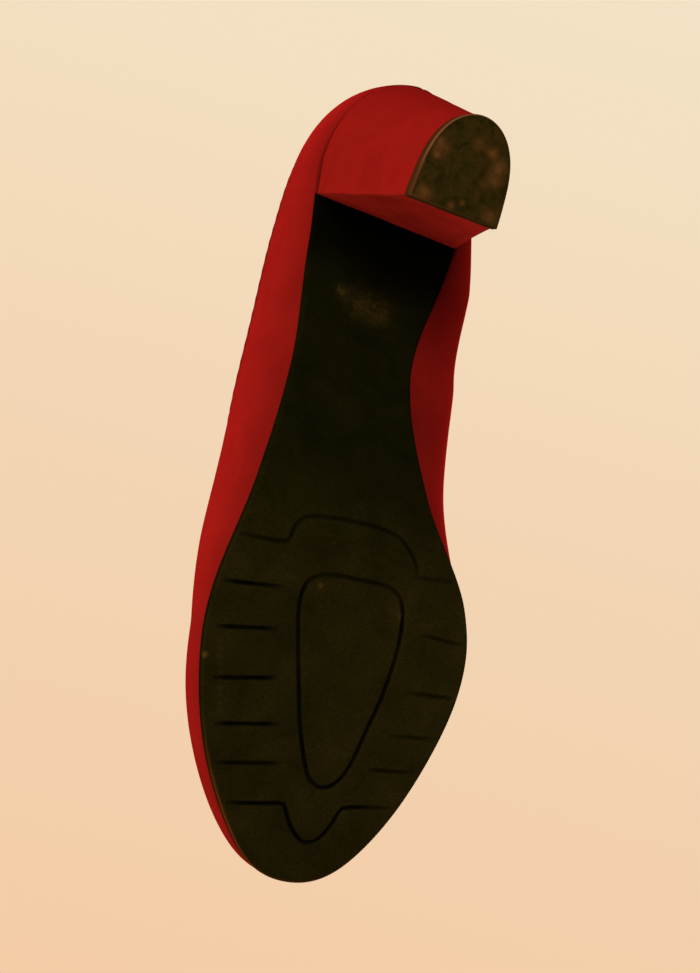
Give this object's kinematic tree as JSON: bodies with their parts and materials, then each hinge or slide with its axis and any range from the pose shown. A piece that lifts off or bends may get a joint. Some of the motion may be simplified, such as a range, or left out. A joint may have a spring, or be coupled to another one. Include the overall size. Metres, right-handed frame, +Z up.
{
  "type": "low pump shoe with covered block heel",
  "caption": "Closed-toe slip-on court shoe for the left foot: suede upper over a lined foot cavity, thin grooved outsole, and a suede-covered block heel on a hard-wearing top lift.",
  "frame": {"origin": "middle of the shoe's plan box, on the ground it stands on", "axes": "-Y towards the toe, +Y towards the heel, +X towards the outer side of the left foot, -X towards the arch, +Z up"},
  "size_m": [0.0756, 0.2276, 0.1126],
  "materials": {
    "outsole": "matt, fine moulded grain, dusty",
    "upper": "suede nap, soft sheen",
    "topline_binding": "suede folded edge",
    "topline_stitching": "twisted thread",
    "back_seam_stitching": "twisted thread",
    "vamp_lining": "smooth lining leather",
    "quarter_lining": "smooth lining leather",
    "heel_grip": "brushed leather",
    "toe_puff": "resin-stiffened cloth",
    "heel_counter": "bonded leather fibre board",
    "insole_board": "cellulose board",
    "shank": "tempered spring steel",
    "shank_rivets": "plain",
    "bottom_filler": "granular cork",
    "sock_lining": "smooth lining leather",
    "heel_pad": "padded lining leather",
    "heel_block": "moulded hard plastic",
    "heel_cover": "suede nap, soft sheen",
    "heel_breast_flap": "suede nap, slightly creased",
    "heel_screw": "zinc plated",
    "heel_nails": "bright",
    "top_lift": "dense, worn and dusty",
    "top_lift_pins": "bright"
  },
  "bodies": {
    "root": {"outsole": "outsole", "upper": "upper", "topline_binding": "topline_binding", "topline_stitching": "topline_stitching", "back_seam_stitching": "back_seam_stitching", "vamp_lining": "vamp_lining", "quarter_lining": "quarter_lining", "heel_grip": "heel_grip", "toe_puff": "toe_puff", "heel_counter": "heel_counter", "insole_board": "insole_board", "shank": "shank", "shank_rivets": "shank_rivets", "bottom_filler": "bottom_filler", "sock_lining": "sock_lining", "heel_pad": "heel_pad", "heel_block": "heel_block", "heel_cover": "heel_cover", "heel_breast_flap": "heel_breast_flap", "heel_screw": "heel_screw", "heel_nails": "heel_nails", "top_lift": "top_lift", "top_lift_pins": "top_lift_pins"}
  },
  "joints": []
}
